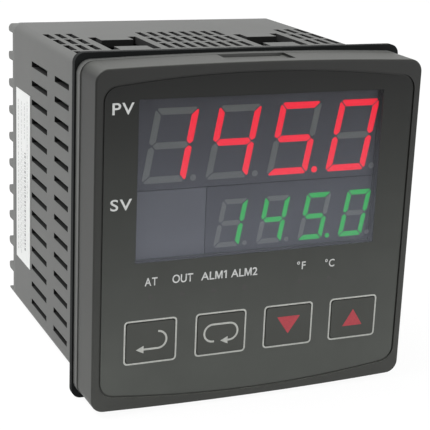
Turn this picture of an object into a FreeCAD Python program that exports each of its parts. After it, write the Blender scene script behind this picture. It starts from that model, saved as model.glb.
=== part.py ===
import FreeCAD, Part
import math
import os
import Sketcher

# A quarter-DIN panel controller.  X is to the right of someone who faces the
# keys, Y runs from the keys to the terminals and Z is up.  The origin is the
# centre of the panel cut-out, in the plane of the panel's front face.

SIZES = {
    # housing
    "case_width": 90.0,
    "case_height": 91.0,
    "case_depth": 75.0,
    "case_wall": 2.2,
    "case_corner": 2.6,
    "rear_wall": 2.0,
    # flange, gasket and bezel, all with slightly arched top and bottom edges
    "flange_width": 96.0,
    "flange_height": 95.7,
    "flange_depth": 3.0,
    "flange_corner": 3.8,
    "flange_arch": 0.95,
    "gasket_width": 97.0,
    "gasket_height": 97.4,
    "gasket_thickness": 2.0,
    "gasket_corner": 2.8,
    "gasket_clearance": 0.3,
    "bezel_depth": 12.0,
    "bezel_step": 0.25,
    "bezel_taper_angle": 0.7,
    "bezel_corner": 3.8,
    "bezel_edge_round": 0.5,
    "bezel_rear_chamfer": 0.3,
    "bezel_face_thickness": 3.1,
    "spigot_length": 4.5,
    "spigot_wall": 1.6,
    "spigot_clearance": 0.25,
    # latch tongue in the middle of the bezel's top and bottom edges
    "latch_width": 19.8,
    "latch_length": 8.3,
    "latch_sink": 0.7,
    "latch_gap": 1.6,
    "latch_gap_depth": 2.0,
    "latch_gap_inset": 1.2,
    # printed film and the pane, which is raised to the film's face
    "film_recess": 0.5,
    "film_thickness": 0.4,
    "film_width": 90.2,
    "film_height": 89.9,
    "film_arch": 3.1,
    "film_corner": 4.0,
    "film_groove": 0.55,
    "window_width": 71.8,
    "window_height": 44.1,
    "window_middle": 16.75,
    "pane_ledge": 0.9,
    "pane_thickness": 1.8,
    "pane_edge_gap": 0.05,
    "pane_clearance": 0.2,
    # displays on the display board
    "display_board_width": 81.0,
    "display_board_height": 82.0,
    "board_thickness": 1.6,
    "display_depth": 8.4,
    "display_gap": 0.3,
    "process_height": 24.6,
    "setpoint_width": 50.6,
    "board_post_side": 3.2,
    "board_post_inset": 2.2,
    # six indicators in two groups
    "indicator_pitch": 9.2,
    "indicator_first": -31.4,
    "indicator_unit_first": 13.3,
    "indicator_level": -15.0,
    "indicator_hole": 2.4,
    "indicator_width": 2.0,
    "indicator_depth": 1.2,
    # keys
    "key_width": 13.9,
    "key_height": 11.3,
    "key_corner": 0.9,
    "key_pitch": 20.7,
    "key_level": -27.75,
    "key_clearance": 0.2,
    "key_proud": 0.15,
    "key_thickness": 1.0,
    "key_lip": 0.8,
    "key_lip_depth": 0.8,
    "key_stop_gap": 0.1,
    "key_stem": 4.0,
    "key_travel": 0.4,
    "switch_side": 6.0,
    "switch_depth": 3.8,
    "plunger_side": 3.0,
    "plunger_proud": 1.2,
    "plunger_length": 3.2,
    "plunger_clearance": 0.3,
    # vents
    "vent_width": 1.9,
    "side_vent_height": 1.75,
    "side_vent_pitch": 5.8,
    "side_vent_top": 36.3,
    "side_vent_front_start": 14.3,
    "side_vent_front_length": 13.8,
    "side_vent_rear_start": 35.7,
    "side_vent_rear_length": 16.8,
    "top_vent_length": 8.6,
    "top_vent_pitch": 3.55,
    "top_vent_row_pitch": 10.4,
    "top_vent_first_row": 10.4,
    "outer_vent_middle": 37.95,
    # bracket windows in the top and bottom walls
    "bracket_middle": 23.4,
    "bracket_slot_width": 2.5,
    "bracket_slot_spacing": 12.4,
    "bracket_slot_start": 20.0,
    "bracket_slot_length": 22.4,
    "bracket_opening_start": 25.6,
    "bracket_opening_length": 11.4,
    # terminals
    "block_width": 17.0,
    "block_plate": 2.0,
    "block_inner": 6.0,
    "block_inset": 2.8,
    "block_clearance": 0.3,
    "terminal_level": -0.35,
    "rib_thickness": 2.5,
    "rib_pitch": 8.78,
    "rib_length": 5.0,
    "cell_depth": 5.4,
    "cell_wall": 1.2,
    "contact_thickness": 1.0,
    "contact_clearance": 0.25,
    "contact_tail": 1.0,
    "contact_tail_length": 7.0,
    "cell_height": 5.4,
    "screw_head_radius": 2.3,
    "screw_head_height": 1.7,
    "screw_radius": 1.45,
    "screw_clearance": 0.3,
    "screw_length": 7.0,
    "washer_side": 4.7,
    "washer_thickness": 0.8,
    # boards and parts inside the case
    "inner_board_height": 78.0,
    "transformer_width": 24.0,
    "transformer_depth": 28.0,
    "transformer_height": 34.0,
    "transformer_middle": 34.0,
    "transformer_level": -20.0,
    "capacitor_radius": 8.0,
    "capacitor_length": 24.0,
    "capacitor_middle": 34.0,
    "capacitor_level": 18.0,
    "relay_width": 15.5,
    "relay_depth": 19.0,
    "relay_height": 15.0,
    "relay_middle": 44.0,
    "relay_level": 14.0,
    # rating label
    "label_width": 16.0,
    "label_height": 55.4,
    "label_thickness": 0.2,
    "label_middle": 62.0,
    "label_level": -1.6,
}

INDICATORS = 6
FIRST_GROUP = 4
TERMINALS_PER_SIDE = 10
SIDE_VENTS_PER_COLUMN = 14
TOP_VENT_ROWS = 4
OUTER_VENT_COLUMNS = 3
MIDDLE_VENT_COLUMNS = 8
HEAD_FACETS = 12
SHANK_FACETS = 6
KEY_NAMES = ["key_enter", "key_cycle", "key_down", "key_up"]

FRONT_VIEW = "XZ_Plane"
SIDE_VIEW = "YZ_Plane"
TOP_VIEW = "XY_Plane"

doc = FreeCAD.newDocument("panel_controller")
sheet = doc.addObject("Spreadsheet::Sheet", "sizes")
for row, (alias, number) in enumerate(SIZES.items(), start=1):
    sheet.set(f"A{row}", alias)
    sheet.set(f"B{row}", str(number))
    sheet.setAlias(f"B{row}", alias)
doc.recompute()


class Dim:
    """A length: its number now, and the sheet expression that gives it."""

    def __init__(self, value, text):
        self.value = float(value)
        self.text = text

    def __add__(self, other):
        other = as_dim(other)
        return Dim(self.value + other.value, f"({self.text} + {other.text})")

    def __sub__(self, other):
        other = as_dim(other)
        return Dim(self.value - other.value, f"({self.text} - {other.text})")

    def __mul__(self, other):
        other = as_dim(other)
        return Dim(self.value * other.value, f"({self.text} * {other.text})")

    def __truediv__(self, other):
        other = as_dim(other)
        return Dim(self.value / other.value, f"({self.text} / {other.text})")

    def __neg__(self):
        return Dim(-self.value, f"(-{self.text})")


def as_dim(other):
    if isinstance(other, Dim):
        return other
    return Dim(other, f"({float(other)})")


ZERO = Dim(0.0, "0")


class Sizes:
    """The sheet's cells by name, each as a Dim."""

    def __init__(self, source):
        for name in SIZES:
            setattr(self, name, Dim(source.get(name), f"sizes.{name}"))


S = Sizes(sheet)

# Planes across the depth, from the keys to the terminals.
FLANGE_REAR = -S.gasket_thickness
FLANGE_FRONT = FLANGE_REAR - S.flange_depth
FACE = FLANGE_FRONT - S.bezel_depth
FILM_SEAT = FACE + S.film_recess
PANE_REAR = FILM_SEAT + S.pane_thickness
FACE_REAR = FACE + S.bezel_face_thickness
DISPLAY_FRONT = PANE_REAR + S.display_gap
BOARD_FRONT = DISPLAY_FRONT + S.display_depth
BOARD_REAR = BOARD_FRONT + S.board_thickness
KEY_FRONT = FACE - S.key_proud
KEY_LIP_FRONT = FACE_REAR + S.key_stop_gap
SWITCH_FRONT = BOARD_FRONT - S.switch_depth
PLUNGER_FRONT = SWITCH_FRONT - S.plunger_proud
PLUNGER_REAR = PLUNGER_FRONT + S.plunger_length
CASE_REAR = S.case_depth
WALL_REAR = CASE_REAR - S.block_plate
WALL_FRONT = WALL_REAR - S.rear_wall
BLOCK_FRONT = WALL_FRONT - S.block_inner
CELL_FLOOR = CASE_REAR - S.cell_depth
CONTACT_REAR = CELL_FLOOR + S.contact_thickness

# The window, and the two displays and the blank that fill it.
WINDOW_TOP = S.window_middle + S.window_height / 2
WINDOW_BOTTOM = S.window_middle - S.window_height / 2
WINDOW_SIDE = S.window_width / 2

# The terminal blocks.
BLOCK_OUTER = S.case_width / 2
BLOCK_INNER = BLOCK_OUTER - S.block_width
BOSS_OUTER = BLOCK_OUTER - S.block_inset
BOSS_INNER = BLOCK_INNER + S.block_inset
BOSS_TOP = S.case_height / 2 - S.block_inset
CELL_OUTER = BOSS_OUTER - S.cell_wall
CELL_INNER = BOSS_INNER + S.cell_wall
CELL_MIDDLE = (CELL_OUTER + CELL_INNER) / 2


# ---------------------------------------------------------------- helpers

def bind(feature, prop, dim):
    feature.setExpression(prop, dim.text)


def new_body(label):
    body = doc.addObject("PartDesign::Body", label)
    body.Label = label
    return body


def new_sketch(body, plane, level=ZERO):
    """A sketch on one of the body's own planes, level mm along its axis."""
    count = len(body.Group)
    sketch = body.newObject("Sketcher::SketchObject", f"{body.Name}_sketch{count}")
    support = [item for item in body.Origin.OriginFeatures if item.Role == plane][0]
    sketch.AttachmentSupport = [(support, "")]
    sketch.MapMode = "FlatFace"
    # The front view's own normal points to -Y.
    along_normal = -level if plane == FRONT_VIEW else level
    sketch.AttachmentOffset.Base.z = along_normal.value
    bind(sketch, "AttachmentOffset.Base.z", along_normal)
    return sketch


def constrain(sketch, kind, *items):
    """Adds a constraint; a Dim as the last item is bound to the sheet."""
    dim = items[-1] if isinstance(items[-1], Dim) else None
    plain = items if dim is None else items[:-1] + (dim.value,)
    index = sketch.addConstraint(Sketcher.Constraint(kind, *plain))
    if dim is not None:
        bind(sketch, f"Constraints[{index}]", dim)


def line(sketch, start, end):
    segment = Part.LineSegment(FreeCAD.Vector(*start, 0), FreeCAD.Vector(*end, 0))
    return sketch.addGeometry(segment, False)


def arc(sketch, centre, radius, start, end):
    circle = Part.Circle(FreeCAD.Vector(*centre, 0), FreeCAD.Vector(0, 0, 1), radius)
    return sketch.addGeometry(Part.ArcOfCircle(circle, start, end), False)


def rectangle(sketch, left, right, low, high):
    """A plain rectangle between four bound distances from the sketch's origin."""
    corners = [
        (left.value, low.value),
        (right.value, low.value),
        (right.value, high.value),
        (left.value, high.value),
    ]
    sides = [line(sketch, corners[n], corners[(n + 1) % 4]) for n in range(4)]
    for n in range(4):
        constrain(sketch, "Coincident", sides[n], 2, sides[(n + 1) % 4], 1)
    constrain(sketch, "Horizontal", sides[0])
    constrain(sketch, "Horizontal", sides[2])
    constrain(sketch, "Vertical", sides[1])
    constrain(sketch, "Vertical", sides[3])
    constrain(sketch, "DistanceX", -1, 1, sides[0], 1, left)
    constrain(sketch, "DistanceX", -1, 1, sides[1], 1, right)
    constrain(sketch, "DistanceY", -1, 1, sides[0], 1, low)
    constrain(sketch, "DistanceY", -1, 1, sides[2], 1, high)


def rounded_rectangle(sketch, left, right, low, high, corner):
    """A rectangle whose four corners share one radius."""
    x0, x1, z0, z1 = left.value, right.value, low.value, high.value
    r = corner.value
    quarter = math.pi / 2
    items = [
        line(sketch, (x0 + r, z0), (x1 - r, z0)),
        arc(sketch, (x1 - r, z0 + r), r, -quarter, 0),
        line(sketch, (x1, z0 + r), (x1, z1 - r)),
        arc(sketch, (x1 - r, z1 - r), r, 0, quarter),
        line(sketch, (x1 - r, z1), (x0 + r, z1)),
        arc(sketch, (x0 + r, z1 - r), r, quarter, 2 * quarter),
        line(sketch, (x0, z1 - r), (x0, z0 + r)),
        arc(sketch, (x0 + r, z0 + r), r, 2 * quarter, 3 * quarter),
    ]
    for n in range(8):
        constrain(sketch, "Tangent", items[n], 2, items[(n + 1) % 8], 1)
    constrain(sketch, "Horizontal", items[0])
    constrain(sketch, "Horizontal", items[4])
    constrain(sketch, "Vertical", items[2])
    constrain(sketch, "Vertical", items[6])
    constrain(sketch, "Radius", items[1], corner)
    for n in (3, 5, 7):
        constrain(sketch, "Equal", items[1], items[n])
    constrain(sketch, "DistanceX", -1, 1, items[6], 1, left)
    constrain(sketch, "DistanceX", -1, 1, items[2], 1, right)
    constrain(sketch, "DistanceY", -1, 1, items[0], 1, low)
    constrain(sketch, "DistanceY", -1, 1, items[4], 1, high)


def centred(width):
    return -width / 2, width / 2


def arched_outline(sketch, width, height, arch, corner):
    """Straight sides, top and bottom arched outwards by arch, rounded corners.

    The height is taken over the crowns of the two arches.
    """
    half = width / 2
    radius = (half * half + arch * arch) / (arch * 2)
    drop = radius - height / 2
    big, small = radius.value, corner.value
    lean = math.asin((half.value - small) / (big - small))
    corner_x = half.value - small
    corner_z = (big - small) * math.cos(lean) - drop.value
    quarter = math.pi / 2
    items = [
        arc(sketch, (0, drop.value), big, 3 * quarter - lean, 3 * quarter + lean),
        arc(sketch, (corner_x, -corner_z), small, 3 * quarter + lean, 4 * quarter),
        line(sketch, (half.value, -corner_z), (half.value, corner_z)),
        arc(sketch, (corner_x, corner_z), small, 0, quarter - lean),
        arc(sketch, (0, -drop.value), big, quarter - lean, quarter + lean),
        arc(sketch, (-corner_x, corner_z), small, quarter + lean, 2 * quarter),
        line(sketch, (-half.value, corner_z), (-half.value, -corner_z)),
        arc(sketch, (-corner_x, -corner_z), small, 2 * quarter, 3 * quarter - lean),
    ]
    for n in range(8):
        constrain(sketch, "Tangent", items[n], 2, items[(n + 1) % 8], 1)
    constrain(sketch, "Vertical", items[2])
    constrain(sketch, "Vertical", items[6])
    constrain(sketch, "Radius", items[1], corner)
    for n in (3, 5, 7):
        constrain(sketch, "Equal", items[1], items[n])
    constrain(sketch, "Radius", items[0], radius)
    constrain(sketch, "Equal", items[0], items[4])
    for n in (0, 4):
        constrain(sketch, "PointOnObject", items[n], 3, -2)
    constrain(sketch, "DistanceY", -1, 1, items[0], 3, drop)
    constrain(sketch, "DistanceY", -1, 1, items[4], 3, -drop)
    constrain(sketch, "DistanceX", -1, 1, items[2], 1, half)
    constrain(sketch, "DistanceX", -1, 1, items[6], 1, -half)


def polygon(sketch, x, z, radius, sides):
    """A regular polygon on a construction circle, for a small round."""
    reach = radius.value
    centre = FreeCAD.Vector(x.value, z.value, 0)
    circle = Part.Circle(centre, FreeCAD.Vector(0, 0, 1), reach)
    ring = sketch.addGeometry(circle, True)
    constrain(sketch, "Radius", ring, radius)
    constrain(sketch, "DistanceX", -1, 1, ring, 3, x)
    constrain(sketch, "DistanceY", -1, 1, ring, 3, z)
    turns = [2 * math.pi * n / sides for n in range(sides)]
    corners = [(x.value + reach * math.cos(t), z.value + reach * math.sin(t)) for t in turns]
    edges = [line(sketch, corners[n], corners[(n + 1) % sides]) for n in range(sides)]
    for n in range(sides):
        constrain(sketch, "Coincident", edges[n], 2, edges[(n + 1) % sides], 1)
        constrain(sketch, "PointOnObject", edges[n], 1, ring)
    for edge in edges[1:]:
        constrain(sketch, "Equal", edges[0], edge)
    constrain(sketch, "DistanceY", -1, 1, edges[0], 1, z)


def volume_of(body):
    doc.recompute()
    return body.Shape.Volume


def pad(body, sketch, length, backwards=False):
    """A pad along the sketch's normal, or against it if backwards."""
    feature = body.newObject("PartDesign::Pad", f"{body.Name}_pad{len(body.Group)}")
    feature.Profile = sketch
    bind(feature, "Length", length)
    feature.Reversed = backwards
    return feature


def pocket(body, sketch, length=None, backwards=False):
    """A pocket against the sketch's normal, or along it if backwards.

    Without a length it goes right through the body, both ways.
    """
    before = volume_of(body)
    feature = body.newObject("PartDesign::Pocket", f"{body.Name}_cut{len(body.Group)}")
    feature.Profile = sketch
    if length is None:
        feature.Type = "ThroughAll"
        feature.SideType = "Symmetric"
    else:
        bind(feature, "Length", length)
        feature.Reversed = backwards
    if volume_of(body) >= before:
        raise RuntimeError(f"{feature.Name} cut nothing")
    return feature


def repeat(body, features, axis, step, count):
    """Copies features count times along one of the body's axes."""
    feature = body.newObject(
        "PartDesign::LinearPattern", f"{body.Name}_row{len(body.Group)}"
    )
    feature.Originals = features
    line_axis = [item for item in body.Origin.OriginFeatures if item.Role == axis][0]
    feature.Direction = (line_axis, [""])
    feature.Mode = "Extent"
    bind(feature, "Length", step * (count - 1))
    feature.Occurrences = count
    body.Tip = feature
    return feature


def mirror(body, features, plane):
    feature = body.newObject(
        "PartDesign::Mirrored", f"{body.Name}_mirror{len(body.Group)}"
    )
    feature.Originals = features
    base = [item for item in body.Origin.OriginFeatures if item.Role == plane][0]
    feature.MirrorPlane = (base, [""])
    body.Tip = feature
    return feature


def place(feature, x=ZERO, y=ZERO, z=ZERO):
    for letter, dim in zip("xyz", (x, y, z)):
        bind(feature, f"Placement.Base.{letter}", dim)


def block(label, x_range, y_range, z_range):
    """A plain box between six bound planes."""
    box = doc.addObject("Part::Box", label)
    box.Label = label
    bind(box, "Length", x_range[1] - x_range[0])
    bind(box, "Width", y_range[1] - y_range[0])
    bind(box, "Height", z_range[1] - z_range[0])
    place(box, x_range[0], y_range[0], z_range[0])
    return box


def around(middle, width):
    return middle - width / 2, middle + width / 2


# ---------------------------------------------------------------- housing

def vent_row(body, middle, columns):
    """A row of top vents, centred on middle, and its copies to the rear."""
    sketch = new_sketch(body, TOP_VIEW)
    first_row = (S.top_vent_first_row, S.top_vent_first_row + S.top_vent_length)
    for column in range(columns):
        x = middle + S.top_vent_pitch * (column - (columns - 1) / 2)
        rectangle(sketch, *around(x, S.vent_width), *first_row)
    slots = pocket(body, sketch)
    repeat(body, [slots], "Y_Axis", S.top_vent_row_pitch, TOP_VENT_ROWS)


def side_vents(body):
    """Two columns of slots through both side walls, from the lowest up."""
    lowest = S.side_vent_top - S.side_vent_pitch * (SIDE_VENTS_PER_COLUMN - 1)
    level = around(lowest, S.side_vent_height)
    sketch = new_sketch(body, SIDE_VIEW)
    front_end = S.side_vent_front_start + S.side_vent_front_length
    rear_end = S.side_vent_rear_start + S.side_vent_rear_length
    rectangle(sketch, S.side_vent_front_start, front_end, *level)
    rectangle(sketch, S.side_vent_rear_start, rear_end, *level)
    slots = pocket(body, sketch)
    repeat(body, [slots], "Z_Axis", S.side_vent_pitch, SIDE_VENTS_PER_COLUMN)


def bracket_window(body, middle):
    """Two hook slots joined by a wider opening, through top and bottom."""
    slots = new_sketch(body, TOP_VIEW)
    slot_end = S.bracket_slot_start + S.bracket_slot_length
    for side in (-1, 1):
        x = middle + S.bracket_slot_spacing * (side / 2)
        rectangle(slots, *around(x, S.bracket_slot_width), S.bracket_slot_start, slot_end)
    pocket(body, slots)
    opening = new_sketch(body, TOP_VIEW)
    opening_end = S.bracket_opening_start + S.bracket_opening_length
    width = around(middle, S.bracket_slot_spacing)
    rectangle(opening, *width, S.bracket_opening_start, opening_end)
    pocket(body, opening)


def rear_housing():
    body = new_body("rear_housing")
    sleeve = new_sketch(body, FRONT_VIEW, FLANGE_REAR)
    rounded_rectangle(
        sleeve, *centred(S.case_width), *centred(S.case_height), S.case_corner
    )
    pad(body, sleeve, WALL_REAR - FLANGE_REAR, backwards=True)
    flange = new_sketch(body, FRONT_VIEW, FLANGE_REAR)
    arched_outline(
        flange, S.flange_width, S.flange_height, S.flange_arch, S.flange_corner
    )
    pad(body, flange, S.flange_depth)
    cavity = new_sketch(body, FRONT_VIEW, FLANGE_FRONT)
    rectangle(
        cavity,
        *centred(S.case_width - S.case_wall * 2),
        *centred(S.case_height - S.case_wall * 2),
    )
    pocket(body, cavity, WALL_FRONT - FLANGE_FRONT)
    side_vents(body)
    vent_row(body, ZERO, MIDDLE_VENT_COLUMNS)
    for side in (-1, 1):
        vent_row(body, S.outer_vent_middle * side, OUTER_VENT_COLUMNS)
        bracket_window(body, S.bracket_middle * side)
    openings = new_sketch(body, FRONT_VIEW, WALL_REAR)
    gap = S.block_clearance
    inner = BOSS_INNER - gap
    outer = BOSS_OUTER + gap
    height = centred(BOSS_TOP * 2 + gap * 2)
    rectangle(openings, inner, outer, *height)
    rectangle(openings, -outer, -inner, *height)
    pocket(body, openings, S.rear_wall, backwards=True)


def panel_gasket():
    body = new_body("panel_gasket")
    outline = new_sketch(body, FRONT_VIEW)
    rounded_rectangle(
        outline, *centred(S.gasket_width), *centred(S.gasket_height), S.gasket_corner
    )
    gap = S.gasket_clearance * 2
    rounded_rectangle(
        outline,
        *centred(S.case_width + gap),
        *centred(S.case_height + gap),
        S.case_corner + S.gasket_clearance,
    )
    pad(body, outline, S.gasket_thickness)


# ---------------------------------------------------------------- bezel

def key_x(number):
    return S.key_pitch * (number - (len(KEY_NAMES) - 1) / 2)


def indicator_x(number):
    """Four indicators in the first group, the rest in the second."""
    if number < FIRST_GROUP:
        return S.indicator_first + S.indicator_pitch * number
    return S.indicator_unit_first + S.indicator_pitch * (number - FIRST_GROUP)


def key_opening(number):
    """A key's opening: the key's own outline and its clearance."""
    gap = S.key_clearance * 2
    width = around(key_x(number), S.key_width + gap)
    return (*width, *around(S.key_level, S.key_height + gap))


def edges_at(feature, depth, upright=False):
    """The names of a feature's edges in the plane at this depth."""
    doc.recompute()
    names = []
    for number, edge in enumerate(feature.Shape.Edges, start=1):
        box = edge.BoundBox
        in_plane = max(abs(box.YMin - depth.value), abs(box.YMax - depth.value)) < 1e-4
        if in_plane and (box.XLength < 1e-4 or not upright):
            names.append(f"Edge{number}")
    return names


def latch_tongue(body):
    """The sunk tongue in the top edge, the gap behind it, and the same below."""
    level = S.flange_height / 2 - S.latch_sink
    sunk = new_sketch(body, TOP_VIEW, level)
    rectangle(sunk, *centred(S.latch_width), FLANGE_FRONT - S.latch_length, FLANGE_FRONT)
    hollow = pocket(body, sunk, S.latch_sink * 2, backwards=True)
    mirror(body, [hollow], TOP_VIEW)
    slot = new_sketch(body, TOP_VIEW, level)
    slot_width = S.latch_width - S.latch_gap_inset * 2
    rectangle(slot, *centred(slot_width), FLANGE_FRONT - S.latch_gap, FLANGE_FRONT)
    gap = pocket(body, slot, S.latch_gap_depth)
    mirror(body, [gap], TOP_VIEW)


def board_posts(body):
    """Four posts behind the face that carry the display board."""
    x = S.display_board_width / 2 - S.board_post_inset
    z = S.display_board_height / 2 - S.board_post_inset
    posts = new_sketch(body, FRONT_VIEW, FACE_REAR)
    for side in (-1, 1):
        for end in (-1, 1):
            post = around(x * side, S.board_post_side)
            rectangle(posts, *post, *around(z * end, S.board_post_side))
    pad(body, posts, BOARD_FRONT - FACE_REAR, backwards=True)


def front_bezel():
    body = new_body("front_bezel")
    outline = new_sketch(body, FRONT_VIEW, FLANGE_FRONT)
    arched_outline(
        outline,
        S.flange_width - S.bezel_step * 2,
        S.flange_height,
        S.flange_arch,
        S.bezel_corner,
    )
    shell = pad(body, outline, S.bezel_depth)
    bind(shell, "TaperAngle", -S.bezel_taper_angle)
    rounded = body.newObject("PartDesign::Fillet", "front_bezel_round")
    rounded.Base = (shell, edges_at(shell, FACE))
    bind(rounded, "Radius", S.bezel_edge_round)
    eased = body.newObject("PartDesign::Chamfer", "front_bezel_chamfer")
    eased.Base = (rounded, edges_at(rounded, FLANGE_FRONT, upright=True))
    bind(eased, "Size", S.bezel_rear_chamfer)
    spigot = new_sketch(body, FRONT_VIEW, FLANGE_FRONT)
    spigot_width = S.case_width - S.case_wall * 2 - S.spigot_clearance * 2
    spigot_height = S.case_height - S.case_wall * 2 - S.spigot_clearance * 2
    rectangle(spigot, *centred(spigot_width), *centred(spigot_height))
    pad(body, spigot, S.spigot_length, backwards=True)
    latch_tongue(body)
    hollow = new_sketch(body, FRONT_VIEW, FLANGE_FRONT + S.spigot_length)
    rectangle(
        hollow,
        *centred(spigot_width - S.spigot_wall * 2),
        *centred(spigot_height - S.spigot_wall * 2),
    )
    pocket(body, hollow, FLANGE_FRONT + S.spigot_length - FACE_REAR, backwards=True)
    recess = new_sketch(body, FRONT_VIEW, FACE)
    arched_outline(
        recess,
        S.film_width + S.film_groove * 2,
        S.film_height + S.film_groove * 2,
        S.film_arch,
        S.film_corner + S.film_groove,
    )
    pocket(body, recess, S.film_recess)
    pane = new_sketch(body, FRONT_VIEW, FILM_SEAT)
    margin = S.pane_ledge + S.pane_clearance
    rectangle(
        pane,
        -WINDOW_SIDE - margin,
        WINDOW_SIDE + margin,
        WINDOW_BOTTOM - margin,
        WINDOW_TOP + margin,
    )
    pocket(body, pane, S.pane_thickness)
    openings = new_sketch(body, FRONT_VIEW, FILM_SEAT)
    rectangle(openings, -WINDOW_SIDE, WINDOW_SIDE, WINDOW_BOTTOM, WINDOW_TOP)
    for number in range(len(KEY_NAMES)):
        rectangle(openings, *key_opening(number))
    for number in range(INDICATORS):
        hole = around(indicator_x(number), S.indicator_hole)
        rectangle(openings, *hole, *around(S.indicator_level, S.indicator_hole))
    pocket(body, openings, FACE_REAR - FILM_SEAT + S.display_gap)
    board_posts(body)


def overlay_film():
    body = new_body("overlay_film")
    outline = new_sketch(body, FRONT_VIEW, FILM_SEAT)
    arched_outline(outline, S.film_width, S.film_height, S.film_arch, S.film_corner)
    rectangle(outline, -WINDOW_SIDE, WINDOW_SIDE, WINDOW_BOTTOM, WINDOW_TOP)
    for number in range(len(KEY_NAMES)):
        corner = S.key_corner + S.key_clearance
        rounded_rectangle(outline, *key_opening(number), corner)
    pad(body, outline, S.film_thickness)


def display_window():
    """The pane: a plate behind the film, raised to the film's face in its window."""
    body = new_body("display_window")
    plate = new_sketch(body, FRONT_VIEW, FILM_SEAT)
    margin = S.pane_ledge
    across = (-WINDOW_SIDE - margin, WINDOW_SIDE + margin)
    rectangle(plate, *across, WINDOW_BOTTOM - margin, WINDOW_TOP + margin)
    pad(body, plate, S.pane_thickness, backwards=True)
    raised = new_sketch(body, FRONT_VIEW, FILM_SEAT)
    gap = S.pane_edge_gap
    width = (-WINDOW_SIDE + gap, WINDOW_SIDE - gap)
    rectangle(raised, *width, WINDOW_BOTTOM + gap, WINDOW_TOP - gap)
    pad(body, raised, S.film_thickness)


# ---------------------------------------------------------------- displays

def displays():
    """The two numeric displays and the blank that fills the last corner."""
    gap = S.display_gap
    depth = (DISPLAY_FRONT, BOARD_FRONT)
    right = WINDOW_SIDE - gap
    top = WINDOW_TOP - gap
    split = top - S.process_height
    split_x = right - S.setpoint_width
    block("pv_display", (-right, right), depth, (split, top))
    lower = (WINDOW_BOTTOM + gap, split - gap)
    block("sv_display", (split_x, right), depth, lower)
    block("display_spacer", (-right, split_x - gap), depth, lower)


def display_board():
    block(
        "display_board",
        centred(S.display_board_width),
        (BOARD_FRONT, BOARD_REAR),
        centred(S.display_board_height),
    )


def indicators():
    for number in range(INDICATORS):
        block(
            f"indicator_led_{number + 1}",
            around(indicator_x(number), S.indicator_width),
            (BOARD_FRONT - S.indicator_depth, BOARD_FRONT),
            around(S.indicator_level, S.indicator_width),
        )


# ---------------------------------------------------------------- keys

def key(label, x):
    """A key cap with a retaining lip behind the face and a stem."""
    body = new_body(label)
    cap = new_sketch(body, FRONT_VIEW, KEY_LIP_FRONT)
    rounded_rectangle(cap, *centred(S.key_width), *centred(S.key_height), S.key_corner)
    pad(body, cap, KEY_LIP_FRONT - KEY_FRONT)
    lip = new_sketch(body, FRONT_VIEW, KEY_LIP_FRONT)
    spread = (S.key_lip + S.key_clearance) * 2
    rectangle(lip, *centred(S.key_width + spread), *centred(S.key_height + spread))
    pad(body, lip, S.key_lip_depth, backwards=True)
    hollow = new_sketch(body, FRONT_VIEW, KEY_LIP_FRONT + S.key_lip_depth)
    wall = S.key_thickness * 2
    rectangle(hollow, *centred(S.key_width - wall), *centred(S.key_height - wall))
    floor = KEY_FRONT + S.key_thickness
    pocket(body, hollow, KEY_LIP_FRONT + S.key_lip_depth - floor, backwards=True)
    stem = new_sketch(body, FRONT_VIEW, PLUNGER_FRONT)
    rectangle(stem, *centred(S.key_stem), *centred(S.key_stem))
    pad(body, stem, PLUNGER_FRONT - floor)
    place(body, x, ZERO, S.key_level)


def tact_switch(number, x):
    """A square switch body with the well that its plunger runs in."""
    body = new_body(f"tact_switch_{number}")
    side = new_sketch(body, FRONT_VIEW, BOARD_FRONT)
    rectangle(side, *centred(S.switch_side), *centred(S.switch_side))
    pad(body, side, S.switch_depth)
    well = new_sketch(body, FRONT_VIEW, SWITCH_FRONT)
    well_side = S.plunger_side + S.plunger_clearance * 2
    rectangle(well, *centred(well_side), *centred(well_side))
    well_depth = S.plunger_length - S.plunger_proud + S.key_travel + S.plunger_clearance
    pocket(body, well, well_depth)
    place(body, x, ZERO, S.key_level)
    block(
        f"switch_plunger_{number}",
        around(x, S.plunger_side),
        (PLUNGER_FRONT, PLUNGER_REAR),
        around(S.key_level, S.plunger_side),
    )


def keys():
    for number, label in enumerate(KEY_NAMES):
        key(label, key_x(number))
        tact_switch(number + 1, key_x(number))


# ---------------------------------------------------------------- terminals

def cell_level(number):
    """The height of a terminal cell's middle, counted from the top."""
    return S.terminal_level - S.rib_pitch * (number - (TERMINALS_PER_SIDE - 1) / 2)


def across(side, inner, outer):
    """A range of X on the right, or its mirror image on the left."""
    return (inner, outer) if side > 0 else (-outer, -inner)


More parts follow.
